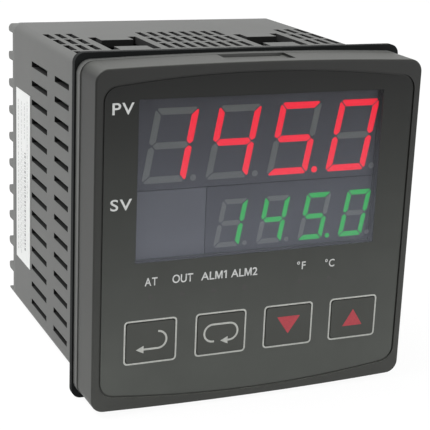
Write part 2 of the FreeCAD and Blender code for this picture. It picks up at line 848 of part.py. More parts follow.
def terminal_block(label, side):
    """A block with a plate over the case's rear edge and round-nosed ribs."""
    body = new_body(label)
    plate = new_sketch(body, FRONT_VIEW, WALL_REAR)
    rectangle(plate, *across(side, BLOCK_INNER, BLOCK_OUTER), *centred(S.case_height))
    pad(body, plate, S.block_plate, backwards=True)
    boss = new_sketch(body, FRONT_VIEW, WALL_REAR)
    rectangle(boss, *across(side, BOSS_INNER, BOSS_OUTER), *centred(BOSS_TOP * 2))
    pad(body, boss, WALL_REAR - BLOCK_FRONT)
    lowest = cell_level(TERMINALS_PER_SIDE - 1)
    cell = new_sketch(body, FRONT_VIEW, CASE_REAR)
    rectangle(cell, *across(side, CELL_INNER, CELL_OUTER), *around(lowest, S.cell_height))
    cut = pocket(body, cell, S.cell_depth, backwards=True)
    repeat(body, [cut], "Z_Axis", S.rib_pitch, TERMINALS_PER_SIDE)
    well = new_sketch(body, FRONT_VIEW, CELL_FLOOR)
    shank = S.screw_radius + S.screw_clearance
    rectangle(
        well,
        *across(side, CELL_MIDDLE - shank, CELL_OUTER),
        *around(lowest, shank * 2),
    )
    sunk = pocket(body, well, CELL_FLOOR - BLOCK_FRONT, backwards=True)
    repeat(body, [sunk], "Z_Axis", S.rib_pitch, TERMINALS_PER_SIDE)
    rib = new_sketch(body, SIDE_VIEW, across(side, BLOCK_INNER, BLOCK_OUTER)[0])
    rib_outline(rib, lowest - S.rib_pitch / 2)
    ridge = pad(body, rib, S.block_width)
    repeat(body, [ridge], "Z_Axis", S.rib_pitch, TERMINALS_PER_SIDE + 1)
    trim_to_case(body)


def trim_to_case(body):
    """Cuts off what stands outside the case's rounded outline."""
    trim = new_sketch(body, FRONT_VIEW)
    rectangle(trim, *centred(S.case_width * 2), *centred(S.case_height * 2))
    rounded_rectangle(
        trim, *centred(S.case_width), *centred(S.case_height), S.case_corner
    )
    pocket(body, trim)


def rib_outline(sketch, level):
    """A rib's side view: two straight flanks and a half-round nose."""
    nose = S.rib_thickness / 2
    tip = CASE_REAR + S.rib_length - nose
    low = level - nose
    high = level + nose
    quarter = math.pi / 2
    base = line(sketch, (CASE_REAR.value, high.value), (CASE_REAR.value, low.value))
    under = line(sketch, (CASE_REAR.value, low.value), (tip.value, low.value))
    round_nose = arc(sketch, (tip.value, level.value), nose.value, -quarter, quarter)
    over = line(sketch, (tip.value, high.value), (CASE_REAR.value, high.value))
    constrain(sketch, "Coincident", base, 2, under, 1)
    constrain(sketch, "Tangent", under, 2, round_nose, 1)
    constrain(sketch, "Tangent", round_nose, 2, over, 1)
    constrain(sketch, "Coincident", over, 2, base, 1)
    constrain(sketch, "Vertical", base)
    constrain(sketch, "Horizontal", under)
    constrain(sketch, "Horizontal", over)
    constrain(sketch, "DistanceX", -1, 1, base, 1, CASE_REAR)
    constrain(sketch, "DistanceX", -1, 1, round_nose, 3, tip)
    constrain(sketch, "DistanceY", -1, 1, round_nose, 3, level)
    constrain(sketch, "Radius", round_nose, nose)


def terminal_contacts():
    """Forked contact plates on the cells' floors, each with a tail."""
    body = new_body("terminal_contacts")
    body.AllowCompound = True
    lowest = cell_level(TERMINALS_PER_SIDE - 1)
    gap = S.contact_clearance
    inner = CELL_INNER + gap
    outer = CELL_OUTER - gap
    shank = S.screw_radius + S.screw_clearance
    plate = new_sketch(body, FRONT_VIEW, CELL_FLOOR)
    fork = new_sketch(body, FRONT_VIEW, CELL_FLOOR)
    tail = new_sketch(body, FRONT_VIEW, CELL_FLOOR)
    for side in (-1, 1):
        level = around(lowest, S.cell_height - gap * 2)
        rectangle(plate, *across(side, inner, outer), *level)
        slot = around(lowest, shank * 2)
        rectangle(fork, *across(side, inner, CELL_MIDDLE + shank), *slot)
        pin = around(lowest, S.contact_tail)
        rectangle(tail, *across(side, outer - S.contact_tail, outer), *pin)
    plates = pad(body, plate, S.contact_thickness, backwards=True)
    forks = pocket(body, fork, S.contact_thickness)
    tails = pad(body, tail, S.contact_tail_length)
    repeat(body, [plates, forks, tails], "Z_Axis", S.rib_pitch, TERMINALS_PER_SIDE)


def terminal_screws():
    """The terminal screws, each with a captive square washer under its head."""
    body = new_body("terminal_screws")
    body.AllowCompound = True
    lowest = cell_level(TERMINALS_PER_SIDE - 1)
    washer = new_sketch(body, FRONT_VIEW, CONTACT_REAR)
    head = new_sketch(body, FRONT_VIEW, CONTACT_REAR + S.washer_thickness)
    shank = new_sketch(body, FRONT_VIEW, CONTACT_REAR)
    for side in (-1, 1):
        x = CELL_MIDDLE * side
        rectangle(washer, *around(x, S.washer_side), *around(lowest, S.washer_side))
        polygon(head, x, lowest, S.screw_head_radius, HEAD_FACETS)
        polygon(shank, x, lowest, S.screw_radius, SHANK_FACETS)
    washers = pad(body, washer, S.washer_thickness, backwards=True)
    heads = pad(body, head, S.screw_head_height, backwards=True)
    shanks = pad(body, shank, S.screw_length)
    repeat(body, [washers, heads, shanks], "Z_Axis", S.rib_pitch, TERMINALS_PER_SIDE)


def terminals():
    terminal_block("terminal_block_left", -1)
    terminal_block("terminal_block_right", 1)
    terminal_contacts()
    terminal_screws()


# ---------------------------------------------------------------- inside

def inner_boards():
    """The power board on the left, the output board on the right."""
    tail_inner = CELL_OUTER - S.contact_clearance - S.contact_tail
    board_inner = tail_inner - S.board_thickness
    depth = (BOARD_REAR, BLOCK_FRONT - S.block_clearance)
    height = centred(S.inner_board_height)
    block("power_board", (-tail_inner, -board_inner), depth, height)
    block("output_board", (board_inner, tail_inner), depth, height)
    block(
        "transformer",
        (-board_inner, S.transformer_width - board_inner),
        around(S.transformer_middle, S.transformer_depth),
        around(S.transformer_level, S.transformer_height),
    )
    capacitor = doc.addObject("Part::Cylinder", "filter_capacitor")
    capacitor.Label = "filter_capacitor"
    bind(capacitor, "Radius", S.capacitor_radius)
    bind(capacitor, "Height", S.capacitor_length)
    capacitor.Placement.Rotation = FreeCAD.Rotation(FreeCAD.Vector(0, 1, 0), 90)
    place(capacitor, -board_inner, S.capacitor_middle, S.capacitor_level)
    for number, end in enumerate((1, -1), start=1):
        block(
            f"output_relay_{number}",
            (board_inner - S.relay_width, board_inner),
            around(S.relay_middle, S.relay_depth),
            around(S.relay_level * end, S.relay_height),
        )


def spec_label():
    side = -S.case_width / 2
    block(
        "spec_label",
        (side - S.label_thickness, side),
        around(S.label_middle, S.label_width),
        around(S.label_level, S.label_height),
    )


# ---------------------------------------------------------------- build

def checked_nodes():
    """Every sub-part of the document, after its state and shape are checked."""
    doc.recompute()
    for item in doc.Objects:
        if "Invalid" in item.State or "Error" in item.State:
            raise RuntimeError(f"{item.Name} failed: {item.State}")
    nodes = []
    for item in doc.Objects:
        inside_body = item.getParentGeoFeatureGroup() is not None
        if inside_body or not item.isDerivedFrom("Part::Feature"):
            continue
        if item.Shape.isNull() or not item.Shape.isValid():
            raise RuntimeError(f"{item.Label} has no valid shape")
        nodes.append(item)
    return nodes


rear_housing()
panel_gasket()
front_bezel()
overlay_film()
display_window()
displays()
display_board()
indicators()
keys()
terminals()
inner_boards()
spec_label()

os.makedirs("parts", exist_ok=True)
for node in checked_nodes():
    node.Shape.exportStep(f"parts/{node.Label}.step")
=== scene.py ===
"""Looks of the panel-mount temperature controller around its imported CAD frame.

The CAD nodes get procedural materials. Added pieces give what the solids leave out:
the digits, the print, the icons, rounder screws and a cover between the blocks.
"""

import math

import bmesh
import bpy
from mathutils import Matrix, Quaternion, Vector


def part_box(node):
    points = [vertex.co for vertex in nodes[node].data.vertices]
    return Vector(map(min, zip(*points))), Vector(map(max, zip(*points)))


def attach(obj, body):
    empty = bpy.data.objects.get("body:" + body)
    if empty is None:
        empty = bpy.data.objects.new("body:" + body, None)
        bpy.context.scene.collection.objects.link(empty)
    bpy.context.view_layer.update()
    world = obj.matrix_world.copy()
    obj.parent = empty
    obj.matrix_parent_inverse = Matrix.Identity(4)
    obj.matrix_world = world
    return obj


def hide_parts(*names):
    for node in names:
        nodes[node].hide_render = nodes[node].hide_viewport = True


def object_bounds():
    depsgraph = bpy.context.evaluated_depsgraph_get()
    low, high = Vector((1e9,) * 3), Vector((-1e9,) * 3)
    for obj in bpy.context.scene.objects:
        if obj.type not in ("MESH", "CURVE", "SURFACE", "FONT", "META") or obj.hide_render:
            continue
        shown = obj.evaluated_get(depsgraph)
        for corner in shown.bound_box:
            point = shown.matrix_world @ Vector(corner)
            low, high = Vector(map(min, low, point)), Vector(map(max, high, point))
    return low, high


MM = 0.001
ROOT = "controller"

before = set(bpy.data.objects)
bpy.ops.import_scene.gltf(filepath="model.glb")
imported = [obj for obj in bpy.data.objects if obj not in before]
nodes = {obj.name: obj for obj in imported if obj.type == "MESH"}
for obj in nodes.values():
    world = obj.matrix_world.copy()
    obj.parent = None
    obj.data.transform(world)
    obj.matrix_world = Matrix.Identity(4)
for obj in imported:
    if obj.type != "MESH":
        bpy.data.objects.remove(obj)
cad_low, cad_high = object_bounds()

# ------------------------------------------------------------------ sizes

CASE_CORNER = 2.6 * MM          # radius of the case's long edges
SHADE_DEPTHS = (0.12 * MM, 0.06 * MM)    # painted shade: the case turns dark between these depths below its face
SHADE_FRONT = -4.5 * MM          # Y at which the painted shade inside the case starts
PRINT_LIFT = 0.02 * MM          # ink stands this far off the surface it is on

READING = "145.0"               # the number that both displays show
SLANT = math.tan(math.radians(10.0))
SEGMENT_GAP = 0.32 * MM
SEGMENT_LIFT = 0.06 * MM
PV_DIGIT = (12.3 * MM, 20.1 * MM)       # width and height
PV_STROKE = 1.8 * MM
PV_PITCH = 18.1 * MM
PV_RIGHT = 2.9 * MM             # last digit's foot from the upper display's right edge
PV_FOOT = 22.8 * MM             # the digits' feet below the upper display's top edge
SV_DIGIT = (7.6 * MM, 13.5 * MM)
SV_STROKE = 1.4 * MM
SV_PITCH = 12.8 * MM
SV_RIGHT = 2.25 * MM            # from the upper display's right edge too
SV_FOOT = 1.3 * MM              # above the lower display's bottom edge

FONT_OFFSET = 0.012             # how much the font is thickened, in its own unit
FONT_STROKE = 0.122             # a thickened stroke, in that unit
LETTER_M = (1.218, 1.878)       # where the M of ALM starts and ends, in that unit
SPOT_RADIUS = 0.75 * MM

FRAME_WIDTH = 14.8 * MM         # printed frame round each key
FRAME_HEIGHT = 12.2 * MM
FRAME_CORNER = 1.1 * MM
FRAME_LINE = 0.48 * MM
ICON_LINE = 0.55 * MM
ARROW_LENGTH = 2.2 * MM         # an icon's arrow head, and half its width
ARROW_HALF = 1.1 * MM

COVER_THICKNESS = 2.0 * MM      # the terminal blocks' plates are as thick
HEAD_RADIUS = 2.3 * MM          # a terminal screw's head
HEAD_HEIGHT = 1.7 * MM
HEAD_EASING = 0.3 * MM
WASHER_SIDE = 4.7 * MM
WASHER_THICKNESS = 0.8 * MM
SHANK_RADIUS = 1.45 * MM
THREAD_PITCH = 0.7 * MM
SCREWS_PER_SIDE = 10


def new_object(name, data):
    """An object in the scene's collection."""
    made = bpy.data.objects.new(name, data)
    bpy.context.scene.collection.objects.link(made)
    return made


# ------------------------------------------------------------------ materials

def new_material(name):
    """A material, its node tree and its shader."""
    material = bpy.data.materials.new(name)
    material.use_nodes = True
    shader = material.node_tree.nodes["Principled BSDF"]
    return material, material.node_tree, shader


def feed(tree, item, socket):
    """Links an output to this input, or sets the input's plain value."""
    if isinstance(item, bpy.types.NodeSocket):
        tree.links.new(item, socket)
    else:
        socket.default_value = item


def noise(tree, scale, detail=2.0):
    """Soft noise that stays with the object."""
    coords = tree.nodes.new("ShaderNodeTexCoord")
    texture = tree.nodes.new("ShaderNodeTexNoise")
    texture.inputs["Scale"].default_value = scale
    texture.inputs["Detail"].default_value = detail
    texture.inputs["Roughness"].default_value = 0.5
    tree.links.new(coords.outputs["Object"], texture.inputs["Vector"])
    return texture.outputs["Fac"]


def mapped(tree, value, source, target):
    """The value taken from one range to another, and held at the ends."""
    ramp = tree.nodes.new("ShaderNodeMapRange")
    for name, number in zip(("From Min", "From Max", "To Min", "To Max"), source + target):
        ramp.inputs[name].default_value = number
    tree.links.new(value, ramp.inputs["Value"])
    return ramp.outputs["Result"]


def vector_step(tree, operation, *items):
    """A vector maths node; items are sockets or plain vectors."""
    step = tree.nodes.new("ShaderNodeVectorMath")
    step.operation = operation
    for number, item in enumerate(items):
        feed(tree, item, step.inputs[number])
    return step.outputs["Value" if operation == "LENGTH" else "Vector"]


def scaled(tree, vector, factor):
    """A vector, as a socket or plain, times a socket's value."""
    step = tree.nodes.new("ShaderNodeVectorMath")
    step.operation = "SCALE"
    feed(tree, vector, step.inputs[0])
    tree.links.new(factor, step.inputs["Scale"])
    return step.outputs["Vector"]


def z_of(tree, vector):
    parts = tree.nodes.new("ShaderNodeSeparateXYZ")
    tree.links.new(vector, parts.inputs["Vector"])
    return parts.outputs["Z"]


def vary_colour(tree, shader, colour, scale, amount):
    """The base colour, a little lighter and darker in soft patches."""
    patches = noise(tree, scale, 3.0)
    factor = mapped(tree, patches, (0.3, 0.7), (1.0 - amount, 1.0 + amount))
    tree.links.new(scaled(tree, colour, factor), shader.inputs["Base Color"])


def add_bump(tree, shader, scale, strength, depth):
    bump = tree.nodes.new("ShaderNodeBump")
    bump.inputs["Strength"].default_value = strength
    bump.inputs["Distance"].default_value = depth
    tree.links.new(noise(tree, scale), bump.inputs["Height"])
    tree.links.new(bump.outputs["Normal"], shader.inputs["Normal"])


def moulded(name, colour, roughness, grain=0.25, grain_scale=2600.0, mottle=0.06, shine=0.5):
    """Moulded plastic with a fine spark-eroded grain and faint mottling."""
    material, tree, shader = new_material(name)
    vary_colour(tree, shader, colour, 60.0, mottle)
    add_bump(tree, shader, grain_scale, grain, 0.05 * MM)
    shader.inputs["Roughness"].default_value = roughness
    shader.inputs["Specular IOR Level"].default_value = shine
    return material


def multiply_colour(material, factor):
    """Scales the material's base colour by a socket's value."""
    tree = material.node_tree
    base = tree.nodes["Principled BSDF"].inputs["Base Color"]
    tree.links.new(scaled(tree, base.links[0].from_socket, factor), base)


def paint_shade_within(material, low, high, share):
    """Painted shade: in a box with rounded edges the colour falls to a share of itself, to
    stand for the shade in the case's slots and hollows, and the surface goes dull."""
    tree = material.node_tree
    roughness = tree.nodes["Principled BSDF"].inputs["Roughness"]
    place = tree.nodes.new("ShaderNodeTexCoord").outputs["Object"]
    away = vector_step(tree, "ABSOLUTE", vector_step(tree, "SUBTRACT", place, (low + high) / 2))
    core = (high - low) / 2 - Vector((CASE_CORNER, CASE_CORNER, CASE_CORNER))
    past = vector_step(tree, "MAXIMUM", vector_step(tree, "SUBTRACT", away, core), (0, 0, 0))
    edge = tuple(CASE_CORNER - depth for depth in SHADE_DEPTHS)
    factor = mapped(tree, vector_step(tree, "LENGTH", past), edge, (share, 1.0))
    multiply_colour(material, factor)
    dulled = mapped(tree, factor, (share, 1.0), (1.0, roughness.default_value))
    tree.links.new(dulled, roughness)


def painted_light_below(material, top, bottom, top_share, bottom_share):
    """Painted light: the colour goes evenly from one share of itself at the top to another
    below, as reflected light makes it lighter towards the bottom.
    """
    tree = material.node_tree
    place = tree.nodes.new("ShaderNodeTexCoord").outputs["Object"]
    factor = mapped(tree, z_of(tree, place), (bottom, top), (bottom_share, top_share))
    multiply_colour(material, factor)


def painted_top_light(material, most):
    """Faces that look up are painted lighter, a painted highlight of the light that falls from
    above.
    """
    tree = material.node_tree
    normal = tree.nodes.new("ShaderNodeNewGeometry").outputs["Normal"]
    multiply_colour(material, mapped(tree, z_of(tree, normal), (0.4, 0.9), (1.0, most)))


def glowing(name, colour, strength):
    """A lit segment, whose glow is slightly uneven."""
    material, tree, shader = new_material(name)
    shader.inputs["Base Color"].default_value = (0.02, 0.02, 0.02, 1.0)
    shader.inputs["Roughness"].default_value = 0.5
    level = mapped(tree, noise(tree, 420.0), (0.0, 1.0), (strength * 0.94, strength * 1.06))
    tree.links.new(level, shader.inputs["Emission Strength"])
    shader.inputs["Emission Color"].default_value = (*colour, 1.0)
    return material


def ink(name, colour):
    """Screen-printed ink, slightly uneven."""
    material, tree, shader = new_material(name)
    vary_colour(tree, shader, colour, 1500.0, 0.1)
    add_bump(tree, shader, 5000.0, 0.1, 0.01 * MM)
    shader.inputs["Roughness"].default_value = 0.45
    return material


def metal(name, colour, roughness):
    """Plated metal with a fine, faint grain."""
    material, tree, shader = new_material(name)
    vary_colour(tree, shader, colour, 300.0, 0.08)
    add_bump(tree, shader, 3000.0, 0.15, 0.02 * MM)
    shader.inputs["Metallic"].default_value = 1.0
    shader.inputs["Roughness"].default_value = roughness
    return material


def smoked(name):
    """The pane: a smoked veil on its front faces, nearly clear on faces seen from behind."""
    material, tree, shader = new_material(name)
    vary_colour(tree, shader, (0.06, 0.064, 0.076), 40.0, 0.05)
    shader.inputs["Roughness"].default_value = 0.35
    shader.inputs["Specular IOR Level"].default_value = 0.3
    behind = tree.nodes.new("ShaderNodeNewGeometry").outputs["Backfacing"]
    tree.links.new(mapped(tree, behind, (0.0, 1.0), (0.5, 0.04)), shader.inputs["Alpha"])
    return material


CASE = moulded("case_grey", (0.075, 0.077, 0.073), 0.5)
BEZEL = moulded("bezel_grey", (0.026, 0.027, 0.0245), 0.45, shine=0.26)
BLOCK = moulded("block_grey", (0.1, 0.103, 0.098), 0.5)
FILM = moulded(
    "film_grey", (0.032, 0.034, 0.031), 0.42, grain=0.12, grain_scale=3800.0, shine=0.18
)
# The keys are cut from the film; their colour is the film's with the painted reflection that
# the film has at the keys' height.
KEY = moulded(
    "key_grey", (0.058, 0.061, 0.055), 0.42, grain=0.12, grain_scale=3800.0, shine=0.18
)
GASKET = moulded("gasket_black", (0.004, 0.005, 0.005), 0.8, grain=0.3, shine=0.2)
DISPLAY = moulded("display_face", (0.11, 0.115, 0.145), 0.6, grain=0.0)
SPACER = moulded("spacer_face", (0.21, 0.22, 0.26), 0.6, grain=0.0)
SWITCH = moulded("switch_black", (0.02, 0.02, 0.02), 0.5)
LENS = moulded("lens_milky", (0.6, 0.62, 0.6), 0.4, grain=0.05)
BOARD = moulded("board_green", (0.02, 0.12, 0.05), 0.35, grain=0.15, grain_scale=900.0)
RELAY = moulded("relay_blue", (0.03, 0.08, 0.25), 0.4)
WINDING = moulded("winding_tape", (0.45, 0.3, 0.05), 0.5, grain_scale=700.0)
SLEEVE = moulded("capacitor_sleeve", (0.02, 0.025, 0.05), 0.3)
PAPER = moulded("label_white", (0.68, 0.69, 0.68), 0.5, grain=0.1, mottle=0.02)
PANE = smoked("smoked_pane")
BRASS = metal("contact_plate", (0.75, 0.62, 0.35), 0.3)
STEEL = metal("screw_zinc", (0.72, 0.72, 0.7), 0.28)
LEGEND = ink("legend_grey", (0.52, 0.53, 0.52))
KEY_LINE = ink("frame_grey", (0.42, 0.43, 0.4))
ICON_RED = ink("icon_red", (0.38, 0.028, 0.042))
LABEL_GREY = ink("label_grey", (0.26, 0.27, 0.27))
LABEL_DARK = ink("label_dark", (0.06, 0.06, 0.065))
SPOT = ink("spot_grey", (0.034, 0.033, 0.031))
RED_LIT = glowing("segment_red", (1.0, 0.0, 0.03), 1.68)
GREEN_LIT = glowing("segment_green", (0.0, 0.62, 0.1), 1.0)
UNLIT = moulded("segment_unlit", (0.31, 0.335, 0.33), 0.5, grain=0.0)

NODE_MATERIALS = {
    "rear_housing": CASE,
    "panel_gasket": GASKET,
    "front_bezel": BEZEL,
    "overlay_film": FILM,
    "display_window": PANE,
    "pv_display": DISPLAY,
    "sv_display": DISPLAY,
    "display_spacer": SPACER,
    "display_board": BOARD,
    "power_board": BOARD,
    "output_board": BOARD,
    "terminal_contacts": BRASS,
    "terminal_screws": STEEL,
    "transformer": WINDING,
    "filter_capacitor": SLEEVE,
    "spec_label": PAPER,
}
NAME_STARTS = {
    "key_": KEY,
    "terminal_block": BLOCK,
    "output_relay": RELAY,
    "indicator_led": LENS,
    "tact_switch": SWITCH,
    "switch_plunger": SWITCH,
}


def node_material(name):
    """The material of a node, by its name or by how its name starts."""
    if name in NODE_MATERIALS:
        return NODE_MATERIALS[name]
    return next(value for start, value in NAME_STARTS.items() if name.startswith(start))


def dress_nodes():
    """Paints shade and light into four of the materials to fit the part, then gives each node
    its own.
    """
    case_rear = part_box("rear_housing")[1].y
    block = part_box("terminal_block_right")
    low = Vector((-block[1].x, SHADE_FRONT, block[0].z))
    high = Vector((block[1].x, case_rear, block[1].z))
    # painted shade in the case's slots and hollows
    paint_shade_within(CASE, low, high, 0.03)
    # painted reflection: the bezel lighter towards the bottom
    painted_light_below(BEZEL, cad_high.z, cad_low.z, 0.4, 1.8)
    # painted highlight on the bezel's faces that look up
    painted_top_light(BEZEL, 5.0)
    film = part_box("overlay_film")
    # painted reflection: the film lighter towards the bottom
    painted_light_below(FILM, film[1].z, film[0].z, 0.15, 2.6)
    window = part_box("display_window")
    # painted glare: the pane lighter towards the bottom
    painted_light_below(PANE, window[1].z, window[0].z, 0.1, 2.4)
    for name, node in nodes.items():
        node.data.materials.clear()
        node.data.materials.append(node_material(name))


# ------------------------------------------------------------------ flat pieces

def rounded(corners, radius, steps=4):
    """A polygon's corners, each replaced by an arc of about this radius."""
    points = []
    count = len(corners)
    for n, corner in enumerate(corners):
        here = Vector(corner)
        back = Vector(corners[n - 1]) - here
        ahead = Vector(corners[(n + 1) % count]) - here
        half_turn = back.angle(ahead) / 2
        reach = min(radius / math.tan(half_turn), back.length / 2.2, ahead.length / 2.2)
        start = here + back.normalized() * reach
        end = here + ahead.normalized() * reach
        for step in range(steps + 1):
            t = step / steps
            points.append((1 - t) ** 2 * start + 2 * t * (1 - t) * here + t * t * end)
    return points


def ribbon(path, width, closed=False):
    """Four-sided patches along a path of flat points."""
    count = len(path)
    left, right = [], []
    for n, point in enumerate(path):
        before = path[n - 1] if closed or n else path[n]
        after = path[(n + 1) % count] if closed or n < count - 1 else path[n]
        along = (after - before).normalized()
        side = Vector((-along.y, along.x)) * (width / 2)
        left.append(point + side)
        right.append(point - side)
    last = count if closed else count - 1
    patches = []
    for n in range(last):
        m = (n + 1) % count
        patches.append([left[n], right[n], right[m], left[m]])
    return patches


def arc_points(centre, radius, start, end, steps=12):
    """Points on a flat arc; angles in degrees, anticlockwise from the right."""
    points = []
    for step in range(steps + 1):
        angle = math.radians(start + (end - start) * step / steps)
        points.append(Vector(centre) + radius * Vector((math.cos(angle), math.sin(angle))))
    return points


def flat_piece(name, outlines, to_space, material, body, thickness=0.0):
    """A mesh of flat outlines put in space, with a raised edge if it has thickness."""
    mesh = bpy.data.meshes.new(name)
    model = bmesh.new()
    for outline in outlines:
        model.faces.new([model.verts.new(to_space(point)) for point in outline])
    bmesh.ops.remove_doubles(model, verts=model.verts, dist=1e-7)
    bmesh.ops.recalc_face_normals(model, faces=model.faces)
    facing = to_space((0, 0), MM) - to_space((0, 0))
    for face in model.faces:
        if face.normal.dot(facing) < 0:
            face.normal_flip()
    if thickness:
        grown = bmesh.ops.extrude_face_region(model, geom=model.faces[:])
        moved = [item for item in grown["geom"] if isinstance(item, bmesh.types.BMVert)]
        bmesh.ops.translate(model, verts=moved, vec=facing.normalized() * thickness)
    model.to_mesh(mesh)
    model.free()
    piece = new_object(name, mesh)
    mesh.materials.append(material)
    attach(piece, body)


def front_plane(depth):
    """Puts flat points on a plane that faces the keys' side, at this Y."""
    def to_space(point, lift=0.0):
        return Vector((point[0], depth - lift, point[1]))
    return to_space


def left_plane(place):
    """Puts flat points on a plane that faces left: their first number runs along Y."""
    def to_space(point, lift=0.0):
        return Vector((place - lift, point[0], point[1]))
    return to_space


# ------------------------------------------------------------------ displays

SEGMENTS = {"0": "abcdef", "1": "bc", "4": "bcfg", "5": "acdfg"}     # the lit ones


def segment_outlines(width, height, stroke):
    """The seven segments of one upright digit, as outlines from its lower left."""
    k = SEGMENT_GAP * 0.7       # an end's setback, for a gap that runs aslant
    chamfer = stroke * 0.5
    near, far = (chamfer - k) / 2, (chamfer + k) / 2
    middle = height / 2
    top = [(chamfer, height), (width - chamfer, height), (width - far, height - near),
           (width - stroke - k, height - stroke), (stroke + k, height - stroke),
           (far, height - near)]
    bar = [(stroke / 2 + k, middle), (stroke + k, middle + stroke / 2),
           (width - stroke - k, middle + stroke / 2), (width - stroke / 2 - k, middle),
           (width - stroke - k, middle - stroke / 2), (stroke + k, middle - stroke / 2)]
    side = [(0, height - chamfer), (near, height - far), (stroke, height - stroke - k),
            (stroke, middle + stroke / 2 + k), (stroke / 2, middle + k),
            (0, middle + stroke * 0.35 + k)]

    def flipped(outline, across, over):
        return [(width - x if across else x, height - z if over else z) for x, z in outline]

    return {
        "a": top,
        "b": flipped(side, True, False),
        "c": flipped(side, True, True),
        "d": flipped(top, False, True),
        "e": flipped(side, False, True),
        "f": side,
        "g": bar,
    }


def number_display(name, node, size, stroke, pitch, last_right, base, lit):
    """Four slanted digits with their points, lit and unlit, on a display's face."""
    width, height = size
    low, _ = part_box(node)
    shapes = segment_outlines(width, height, stroke)
    bright, dull = [], []
    digits = READING.replace(".", "")
    point_after = READING.index(".") - 1
    for place, digit in enumerate(digits):
        left = last_right - width - pitch * (len(digits) - 1 - place)
        for key, outline in shapes.items():
            curve = rounded(outline, stroke * 0.12)
            slanted = [Vector((left + p.x + p.y * SLANT, base + p.y)) for p in curve]
            (bright if key in SEGMENTS[digit] else dull).append(slanted)
        centre = (left + width + stroke * 1.3, base + stroke * 0.5)
        dot = arc_points(centre, stroke * 0.5, 0, 330, 11)
        (bright if place == point_after else dull).append(dot)
    plane = front_plane(low.y)
    flat_piece(f"{name}_lit", bright, plane, lit, ROOT, SEGMENT_LIFT)
    flat_piece(f"{name}_unlit", dull, plane, UNLIT, ROOT, SEGMENT_LIFT)


def displays():
    """Red digits above and green ones below."""
    _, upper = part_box("pv_display")
    lower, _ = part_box("sv_display")
    number_display("process_digits", "pv_display", PV_DIGIT, PV_STROKE, PV_PITCH,
                   upper.x - PV_RIGHT, upper.z - PV_FOOT, RED_LIT)
    number_display("setpoint_digits", "sv_display", SV_DIGIT, SV_STROKE, SV_PITCH,
                   upper.x - SV_RIGHT, lower.z + SV_FOOT, GREEN_LIT)


# ------------------------------------------------------------------ print

def own_marks(mesh, text):
    """Draws ALM's third letter anew, since the font's own folds over itself when it
    is thickened, and gives a figure one, a plain stroke in this font, its flag."""
    outlines = []
    top = max(vertex.co.y for vertex in mesh.vertices)
    model = bmesh.new()
    model.from_mesh(mesh)
    if text.startswith("ALM"):
        left, right = LETTER_M
        middle, leg = (left + right) / 2, FONT_STROKE
        bmesh.ops.delete(model, geom=[
            vertex for vertex in model.verts if left - 0.01 < vertex.co.x < right + 0.01
        ])
        outlines.append([
            (left, 0), (left + leg, 0), (left + leg, top * 0.68), (middle - leg * 0.5, 0),
            (middle + leg * 0.5, 0), (right - leg, top * 0.68), (right - leg, 0), (right, 0),
            (right, top), (right - leg * 1.3, top), (middle, top * 0.3),
            (left + leg * 1.3, top), (left, top),
        ])
    if text.endswith("1"):
        edge = max(vertex.co.x for vertex in mesh.vertices) - FONT_STROKE
        tip = edge - 0.15
        outlines.append([(edge, top), (tip, top - 0.12), (tip, top - 0.23), (edge, top - 0.15)])
    for outline in outlines:
        face = model.faces.new([model.verts.new((x, y, 0)) for x, y in outline])
        bmesh.ops.triangulate(model, faces=[face])
    model.to_mesh(mesh)
    model.free()


def legend(name, text, centre, size, spacing):
    """A short word, fitted to its width and height on the film's face."""
    curve = bpy.data.curves.new(name, "FONT")
    curve.body = text
    curve.offset = FONT_OFFSET
    curve.space_character = spacing
    curve.resolution_u = 6
    written = new_object(name, curve)
    shapes = bpy.context.evaluated_depsgraph_get()
    mesh = bpy.data.meshes.new_from_object(written.evaluated_get(shapes))
    bpy.data.objects.remove(written)
    own_marks(mesh, text)
    xs = [vertex.co.x for vertex in mesh.vertices]
    ys = [vertex.co.y for vertex in mesh.vertices]
    across = size[0] / (max(xs) - min(xs))
    up = size[1] / (max(ys) - min(ys))
    film_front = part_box("overlay_film")[0].y - PRINT_LIFT
    for vertex in mesh.vertices:
        x = centre[0] + (vertex.co.x - (max(xs) + min(xs)) / 2) * across
        z = centre[1] + (vertex.co.y - (max(ys) + min(ys)) / 2) * up
        vertex.co = (x, film_front, z)
    mesh.materials.clear()
    mesh.materials.append(LEGEND)
    piece = new_object(name, mesh)
    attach(piece, ROOT)


def legends():
    """The words on the film; their centres and sizes are in mm."""
    rows = [
        ("legend_pv", "PV", (-40.1, 36.6), (5.9, 3.1)),
        ("legend_sv", "SV", (-40.2, 11.2), (5.9, 3.1)),
        ("legend_at", "AT", (-31.3, -10.7), (3.6, 2.3)),
        ("legend_out", "OUT", (-22.2, -10.6), (6.0, 2.4)),
        ("legend_alm1", "ALM1", (-13.06, -10.65), (7.6, 2.3)),
        ("legend_alm2", "ALM2", (-4.0, -10.66), (8.0, 2.3)),
        ("legend_fahrenheit", "°F", (13.5, -10.3), (2.7, 2.4)),
        ("legend_celsius", "°C", (22.5, -10.4), (3.0, 2.4)),
    ]
    for name, text, centre, size in rows:
        spacing = 1.15 if len(text) == 2 else 1.0
        legend(name, text, [v * MM for v in centre], [v * MM for v in size], spacing)


def indicator_spots():
    """A faint disc of ink on the film over each indicator."""
    film_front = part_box("overlay_film")[0].y - PRINT_LIFT
    discs = []
    for number in range(1, 7):
        low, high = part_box(f"indicator_led_{number}")
        centre = ((low.x + high.x) / 2, (low.z + high.z) / 2)
        discs.append(arc_points(centre, SPOT_RADIUS, 0, 345, 23))
    flat_piece("indicator_spots", discs, front_plane(film_front), SPOT, ROOT)


def key_centre(node):
    """The middle of a node's front, as a flat point."""
    low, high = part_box(node)
    return Vector(((low.x + high.x) / 2, (low.z + high.z) / 2))


